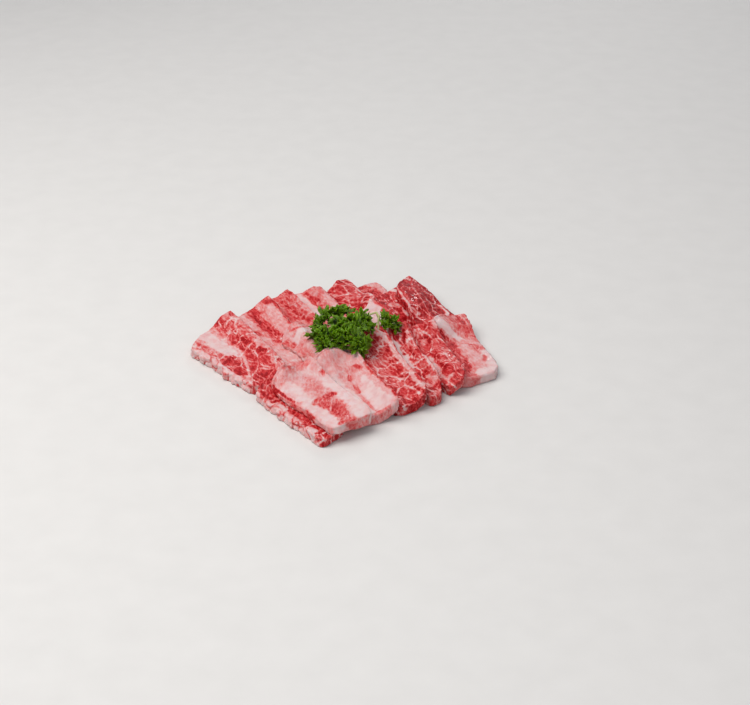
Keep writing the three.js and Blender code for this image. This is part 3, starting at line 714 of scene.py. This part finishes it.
def read(items, name, width=3):
    """A property of all a mesh's vertices or edges, as an array."""
    kind = np.int32 if name == "vertices" else np.float32
    flat = np.empty(len(items) * width, kind)
    items.foreach_get(name, flat)
    return flat.reshape(-1, width).astype(int if name == "vertices" else float)


def store(mesh, name, kind, values):
    """Keeps a value for each vertex, which the materials read."""
    key = "vector" if kind == "FLOAT_VECTOR" else "value"
    mesh.attributes.new(name, kind, "POINT").data.foreach_set(key, np.ravel(values).astype(np.float32))


def move_to(mesh, points):
    """Moves a mesh's vertices to these points."""
    mesh.vertices.foreach_set("co", (points * MM).ravel())
    mesh.update()


def add_piece(name, mesh, material, slot, node):
    """Puts a finished mesh into the scene, in place of the CAD node that it stands for."""
    mesh.materials.clear()
    mesh.materials.append(material)
    mesh.shade_smooth()
    piece = bpy.data.objects.new(name, mesh)
    bpy.context.collection.objects.link(piece)
    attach(piece, "root")
    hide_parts(node)


def with_modifier(mesh, kind, settings):
    """A copy of a mesh that a modifier has worked on."""
    rough = bpy.data.objects.new("rough", mesh)
    bpy.context.collection.objects.link(rough)
    modifier = rough.modifiers.new("change", kind)
    for name, value in settings.items():
        setattr(modifier, name, value)
    changed = bpy.data.meshes.new_from_object(rough.evaluated_get(bpy.context.evaluated_depsgraph_get()))
    bpy.data.objects.remove(rough)
    return changed


def evened(node):
    """A node's solid as an even fine mesh."""
    merged = bmesh.new()
    merged.from_mesh(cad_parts[node].data)
    bmesh.ops.remove_doubles(merged, verts=merged.verts, dist=WELD * MM)
    mesh = bpy.data.meshes.new(node)
    merged.to_mesh(mesh)
    merged.free()
    return with_modifier(mesh, "REMESH", {"mode": "VOXEL", "voxel_size": VOXEL * MM})


def plan_corners(plan):
    """A slice's far left, far right, near right and near left corners, seen from above."""
    spread = plan - plan.mean(axis=0)
    along = np.linalg.eigh(spread.T @ spread)[1][:, 1]
    along = along * -np.sign(along[1])
    across = np.array((-along[1], along[0]))
    a, b = plan @ along, plan @ across
    a = (a - a.min()) / np.ptp(a)
    b = (b - b.min()) / np.ptp(b)
    return [plan[np.argmax(k)] for k in (-a - b, b - a, a + b, a - b)]


def to_plan(corners, place):
    """The point of the plan that is at this place on a slice."""
    far_left, far_right, near_right, near_left = corners
    u, v = [(share + 1) / 2 for share in place]
    left = far_left + (near_left - far_left) * v
    right = far_right + (near_right - far_right) * v
    return left + (right - left) * u


def distance_to(path, plan):
    """How far each point of the plan is from a path."""
    nearest = np.full(len(plan), np.inf)
    for start, end in zip(path, path[1:]):
        run = end - start
        share = np.clip((plan - start) @ run / (run @ run), 0, 1)
        nearest = np.minimum(nearest, np.linalg.norm(plan - start - share[:, None] * run, axis=1))
    return nearest


def tree_of(plan, labels):
    """A tree that finds the label of the nearest point of a plan."""
    tree = KDTree(len(plan))
    for (x, y), label in zip(plan, labels):
        tree.insert((x, y, 0), label)
    tree.balance()
    return tree


def inset_of(points, normals):
    """How far each point is from the sides of its slice, seen from above."""
    sides = points[np.abs(normals[:, 2]) < SIDE, :2]
    tree = tree_of(sides, range(len(sides)))
    return np.array([tree.find((x, y, 0))[2] for x, y, _ in points])


def neighbour_sum(values, edges):
    """The sum of the values at the vertices next to each vertex."""
    near, far = edges
    return np.bincount(near, values[far], len(values)) + np.bincount(far, values[near], len(values))


def smooth_slice(mesh):
    """Evens out the heights of a slice's two cut faces, and makes the edges round them crisper."""
    points = read(mesh.vertices, "co") / MM
    edges = read(mesh.edges, "vertices", 2).T
    normals = read(mesh.vertex_normals, "vector")
    upright = np.abs(normals[:, 2])
    inset = inset_of(points, normals)
    face = rise(inset, RIM - FACE_FADE, RIM + FACE_FADE)
    rim = 1 - rise(inset, RIM - RIM_FADE, RIM)
    rim *= rise(upright, *EDGE_FADES_IN) * (1 - rise(upright, *EDGE_FADES_OUT))
    height = points[:, 2].copy()
    own_share = 0.001  # keeps a vertex at its own height where none of those next to it is on a face
    near_faces = neighbour_sum(face, edges) + own_share
    for _ in range(FACE_SMOOTHING):
        mean = (neighbour_sum(face * height, edges) + own_share * height) / near_faces
        height += SMOOTHING_SHARE * face * (mean - height)
    points[:, 2] = height
    return points + CRISPNESS * rim[:, None] * normals


def ease(points, normals, corners, reach, swelling, lift, draw_in, *places):
    """Makes a slice thicker or thinner near a path, lifts it or lets it sag there, and draws it in."""
    tops = np.flatnonzero(normals[:, 2] > TOP)
    tree = tree_of(points[tops, :2], tops)
    top_heights = np.array([points[tree.find((x, y, 0))[1], 2] for x, y, _ in points])
    share = np.clip(1 - (top_heights - points[:, 2]) / SLICE_THICKNESS, 0, 1)
    path = [to_plan(corners, place) for place in places]
    near = 1 - rise(distance_to(path, points[:, :2]), 0, reach)
    points[:, 2] += (lift + swelling * share) * near
    points[:, :2] += draw_in * near[:, None] * unit(np.mean(corners, axis=0) - np.mean(path, axis=0))


def lean_share(points, corners, tissue, strokes, seed):
    """How lean the meat is at each point: the strokes are laid over the main tissue one after the other."""
    blotch_size, blotch = BLOTCHES
    lean = np.full(len(points), tissue) + blotch * wobble(points, blotch_size, seed)
    for n, (stroke_tissue, width, *places) in enumerate(strokes):
        path = [to_plan(corners, place) for place in places]
        ragged = sum(height * wobble(points, size, seed + n + size) for size, height in RAGGED)
        raggedness = min(1.0, RAGGED_SHARE * (width + 1))
        outside = distance_to(path, points[:, :2]) - width / 2 + raggedness * ragged
        softness = SOFTNESS + SOFTNESS_SHARE * width
        lean += (stroke_tissue - lean) * (1 - rise(outside, -softness, softness))
    return np.clip(lean, 0, 1)


def fringe_share(node, points, corners):
    """How far each point belongs to the fringe of beads that some slices have on their left sides."""
    if node not in FRINGED_SLICES:
        return np.zeros(len(points))
    far_left, _, _, near_left = corners
    return 1 - rise(distance_to([far_left, near_left], points[:, :2]), *FRINGE_FADE)


def grain_of(points, corners, slant, seed):
    """Each point's place across the grain, along it and up, well away from those of the other slices."""
    far_left, far_right, near_right, near_left = corners
    length = unit(near_left + near_right - far_left - far_right)
    slant = math.radians(slant)
    along = length * math.cos(slant) + np.array((length[1], -length[0])) * math.sin(slant)
    across = np.array((-along[1], along[0]))
    plan = points[:, :2] - np.mean(corners, axis=0)
    return np.column_stack((plan @ across, plan @ along, points[:, 2])) + GRAIN_STEP * seed


def roughness_of(points, normals, lean, fringe, seed):
    """How far each point stands out: the relief of the cut faces, the fat, and the lumps on the sides."""
    sides = 1 - rise(np.abs(normals[:, 2]), *LUMPS_FADE_OUT)
    relief = sum(height * wobble(points, size, seed + size) for size, height in RELIEF)
    lumps = sum(height * (np.abs(wobble(points, size, seed + size)) - LUMP_MEAN) for size, height in LUMPS)
    return FAT_STANDS_PROUD * (0.5 - lean) + relief + sides * (1 + fringe) * lumps


def carve_slice(node, seed, material, slot, slant, tissue, strokes):
    """One slice of meat, with its tissues and its uneven cut faces."""
    corners = plan_corners(read(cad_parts[node].data.vertices, "co")[:, :2] / MM)
    mesh = evened(node)
    points = smooth_slice(mesh)
    for eased, *how in EASED:
        if eased == node:
            ease(points, read(mesh.vertex_normals, "vector"), corners, *how)
    lean = lean_share(points, corners, tissue, strokes, seed)
    fringe = fringe_share(node, points, corners)
    bead_size = LUMPS[0][0]
    creases = 1 - rise(np.abs(wobble(points, bead_size, seed + bead_size)), 0, CREASE_WIDTH)
    lean += fringe * (BEAD + CREASE_LEAN * creases - lean)
    grain = grain_of(points, corners, slant, seed)
    move_to(mesh, points)
    normals = read(mesh.vertex_normals, "vector")
    points = points + roughness_of(points, normals, lean, fringe, seed)[:, None] * normals
    points[:, 2] = np.maximum(points[:, 2], 0)
    move_to(mesh, points)
    store(mesh, "lean", "FLOAT", lean)
    store(mesh, "grain", "FLOAT_VECTOR", grain)
    add_piece(node + "_meat", mesh, material, slot, node)


def lobe_outline(side):
    """How far a lobe reaches, from its middle at 0 to its side at 1."""
    teeth = sum(height * max(0, 1 - abs(side - place) / TOOTH_WIDTH) for place, height in TEETH)
    return LOBE_REACH - NOTCH_DEPTH * side ** 1.6 + TOOTH_LENGTH * teeth


def shape_of_lobe(draw):
    """A lobe's length, how it curls along its middle, how it folds on that, and how it twists."""
    length = draw.uniform(*LOBE_LENGTH)
    curl = draw.uniform(*LOBE_CURL)
    keel = draw.choice((-1, 1)) * draw.uniform(*LOBE_KEEL)
    return length, curl, keel, draw.uniform(*LOBE_TWIST)


def fan_of_leaf(radius, draw):
    """A fan of pointed lobes that spreads along +X from the origin, with its folds facing +Z."""
    lobes = draw.choice(LOBES)
    bowl = draw.uniform(*FAN_BOWL)
    shapes = [shape_of_lobe(draw) for _ in range(lobes)]
    points, folds = [], []
    for step in range(lobes * LOBE_STEPS + 1):
        lobe = min(step // LOBE_STEPS, lobes - 1)
        length, curl, keel, twist = shapes[lobe]
        across = 2 * (step / LOBE_STEPS - lobe) - 1
        side = abs(across)
        angle = (lobe + 0.5 * across - 0.5 * (lobes - 1)) * LOBE_SPREAD
        in_lobe = 1 - side ** 4  # fades to 0 where one lobe meets the next
        reach = radius * (1 + (length - 1) * in_lobe) * lobe_outline(side)
        for ring in range(FAN_RINGS + 1):
            share = FAN_START + (1 - FAN_START) * ring / FAN_RINGS
            fold = in_lobe * (curl * share ** 2.5 + keel * side * share) + twist * across * share
            out = reach * share * (1 - TIP_SHORTFALL * share ** 2)
            up = radius * (bowl * share ** 2 + fold)
            points.append((out * math.cos(angle), out * math.sin(angle), up))
            # Painted shade at a fan's start and in its notches, and painted light towards its tip
            folds.append(PAINTED_SHADE_AT_START + PAINTED_LIGHT_TO_TIP * share - PAINTED_SHADE_IN_NOTCHES * side * (1 - share))
    return np.array(points), folds, grid_faces(lobes * LOBE_STEPS, FAN_RINGS)


def grid_faces(steps, rings):
    """The faces between rows of points: so many steps from row to row, and so many along each row."""
    row = rings + 1
    corners = [step * row + ring for step, ring in product(range(steps), range(rings))]
    return [(a, a + 1, a + row + 1, a + row) for a in corners]


def grow_leaflet(middle, facing, radius, draw):
    """A tuft of fans round the middle of a leaflet."""
    side = unit(np.cross(facing, LEAFLET_ASIDE))
    other = np.cross(facing, side)
    spin = draw.uniform(0, 2 * math.pi)
    for n, (leans, sizes) in enumerate(FANS):
        turn = spin + FAN_TURN * n + draw.uniform(*FAN_TURN_SPREAD)
        lean = draw.uniform(*leans)
        flat = math.cos(turn) * side + math.sin(turn) * other
        out = unit(flat * math.cos(lean) + facing * math.sin(lean))
        wide = unit(np.cross(facing, out) + draw.uniform(*FAN_TWIST) * facing)
        base = middle + radius * (draw.uniform(*FAN_OUT) * flat + draw.uniform(*FAN_UP) * facing)
        points, folds, faces = fan_of_leaf(radius * draw.uniform(*sizes), draw)
        yield base + points @ np.array((out, wide, np.cross(out, wide))), folds, faces


def stem(path, radii):
    """A round stem along a path, which goes from one radius to the other."""
    points, faces = [], []
    for n, (place, radius) in enumerate(zip(path, np.linspace(*radii, len(path)))):
        along = unit(path[min(n + 1, len(path) - 1)] - path[max(n - 1, 0)])
        side = unit(np.cross(along, STEM_ASIDE))
        other = np.cross(along, side)
        for k in range(STEM_SIDES):
            angle = 2 * math.pi * k / STEM_SIDES
            points.append(place + radius * (math.cos(angle) * side + math.sin(angle) * other))
    for n, k in product(range(len(path) - 1), range(STEM_SIDES)):
        a, b = n * STEM_SIDES + k, n * STEM_SIDES + (k + 1) % STEM_SIDES
        faces.append((a, b, b + STEM_SIDES, a + STEM_SIDES))
    faces.append(tuple(range(STEM_SIDES))[::-1])
    faces.append(tuple(len(points) - STEM_SIDES + k for k in range(STEM_SIDES)))
    return np.array(points), faces


def bowed(start, end, sag):
    """A path from start to end that hangs down in the middle."""
    shares = np.linspace(0, 1, STEM_STEPS)[:, None]
    return start + (end - start) * shares - np.array((0, 0, sag)) * 4 * shares * (1 - shares)


def joined(parts):
    """The points and faces of many meshes, as those of one."""
    points, faces, count = [], [], 0
    for part_points, part_faces in parts:
        faces += [tuple(v + count for v in face) for face in part_faces]
        points.append(part_points)
        count += len(part_points)
    return np.vstack(points), faces


def grow_sprig():
    """The sprig of parsley: its leaves and its stems."""
    draw = random.Random(SPRIG_SEED)
    heart = np.array(SPRIG_HEART)
    stems = [stem(np.array(SPRIG_STALK), STALK_RADII)]
    fans = []
    for start, end, leaflets in SPRIG_BRANCHES:
        branch = np.array(end)
        stems.append(stem(bowed(np.array(start), branch, BRANCH_SAG), BRANCH_RADII))
        for *middle, radius in leaflets:
            facing = unit(np.array(middle) - heart)
            base = np.array(middle) - TUFT_DEPTH * radius * facing
            fans += grow_leaflet(base, facing, radius, draw)
            stems.append(stem(bowed(branch, base, TWIG_SAG), TWIG_RADII))
    add_leaves(fans)
    points, faces = joined(stems)
    stalks = bpy.data.meshes.new("parsley_stems")
    stalks.from_pydata(points * MM, [], faces)
    store(stalks, "grain", "FLOAT_VECTOR", points)
    add_piece("parsley_stems", stalks, stem_green(), "parsley", "parsley")


def add_leaves(fans):
    """The leaves from all their fans: crumpled, and then given a thickness."""
    points, faces = joined([(fan_points, fan_faces) for fan_points, _, fan_faces in fans])
    for size, height in CRUMPLE:
        points += height * np.column_stack([wobble(points, size, seed) for seed in CRUMPLE_SEEDS])
    thin = bpy.data.meshes.new("thin_leaf")
    thin.from_pydata(points * MM, [], faces)
    # The painted light and shade of the leaves, kept under fold
    store(thin, "fold", "FLOAT", [fold for _, folds, _ in fans for fold in folds])
    store(thin, "grain", "FLOAT_VECTOR", points)
    leaves = with_modifier(thin, "SOLIDIFY", {"thickness": LEAF_THICKNESS * MM})
    add_piece("parsley_leaves", leaves, leaf_green(), "parsley", "parsley")


def set_camera():
    """The camera at the photo's viewing angle."""
    data = bpy.data.cameras.new("camera")
    data.lens = LENS
    data.shift_x, data.shift_y = SHIFT
    camera = bpy.data.objects.new("camera", data)
    back = Vector((0, -math.cos(ELEVATION), math.sin(ELEVATION)))
    camera.location = AIM + back * DISTANCE
    camera.rotation_euler = (-back).to_track_quat("-Z", "Y").to_euler()
    bpy.context.collection.objects.link(camera)
    bpy.context.scene.camera = camera


def lay_floor():
    """The floor, which is only there to catch the light."""
    mesh = bpy.data.meshes.new("floor")
    corners = [(x * FLOOR_HALF, y * FLOOR_HALF, 0) for x, y in ((-1, -1), (1, -1), (1, 1), (-1, 1))]
    mesh.from_pydata(corners, [], [(0, 1, 2, 3)])
    mesh.materials.append(pale_matte())
    floor = bpy.data.objects.new("floor", mesh)
    floor.location.z = -FLOOR_DROP
    bpy.context.collection.objects.link(floor)


def hang_light(name, place, size, power, tint):
    """A soft square light that faces the meat."""
    light = bpy.data.lights.new(name, "AREA")
    light.shape = "SQUARE"
    light.size = size
    light.energy = power
    light.color = tint
    lamp = bpy.data.objects.new(name, light)
    lamp.location = place
    lamp.rotation_euler = (-Vector(place)).to_track_quat("-Z", "Y").to_euler()
    bpy.context.collection.objects.link(lamp)


def light_room():
    """The soft light that comes from all round."""
    world = bpy.data.worlds.new("studio")
    bpy.context.scene.world = world
    world.use_nodes = True
    world.node_tree.nodes["Background"].inputs["Color"].default_value = ROOM_TINT
    world.node_tree.nodes["Background"].inputs["Strength"].default_value = ROOM_STRENGTH


set_camera()
lay_floor()
for light in LIGHTS:
    hang_light(*light)
light_room()
bpy.context.scene.view_settings.view_transform = "Standard"

beefs = {slot: beef(slot, *looks) for slot, looks in BEEF_LOOKS.items()}
for seed, (node, (slot, *looks)) in enumerate(SLICES.items(), 1):
    carve_slice(node, seed, beefs[slot], slot, *looks)
grow_sprig()
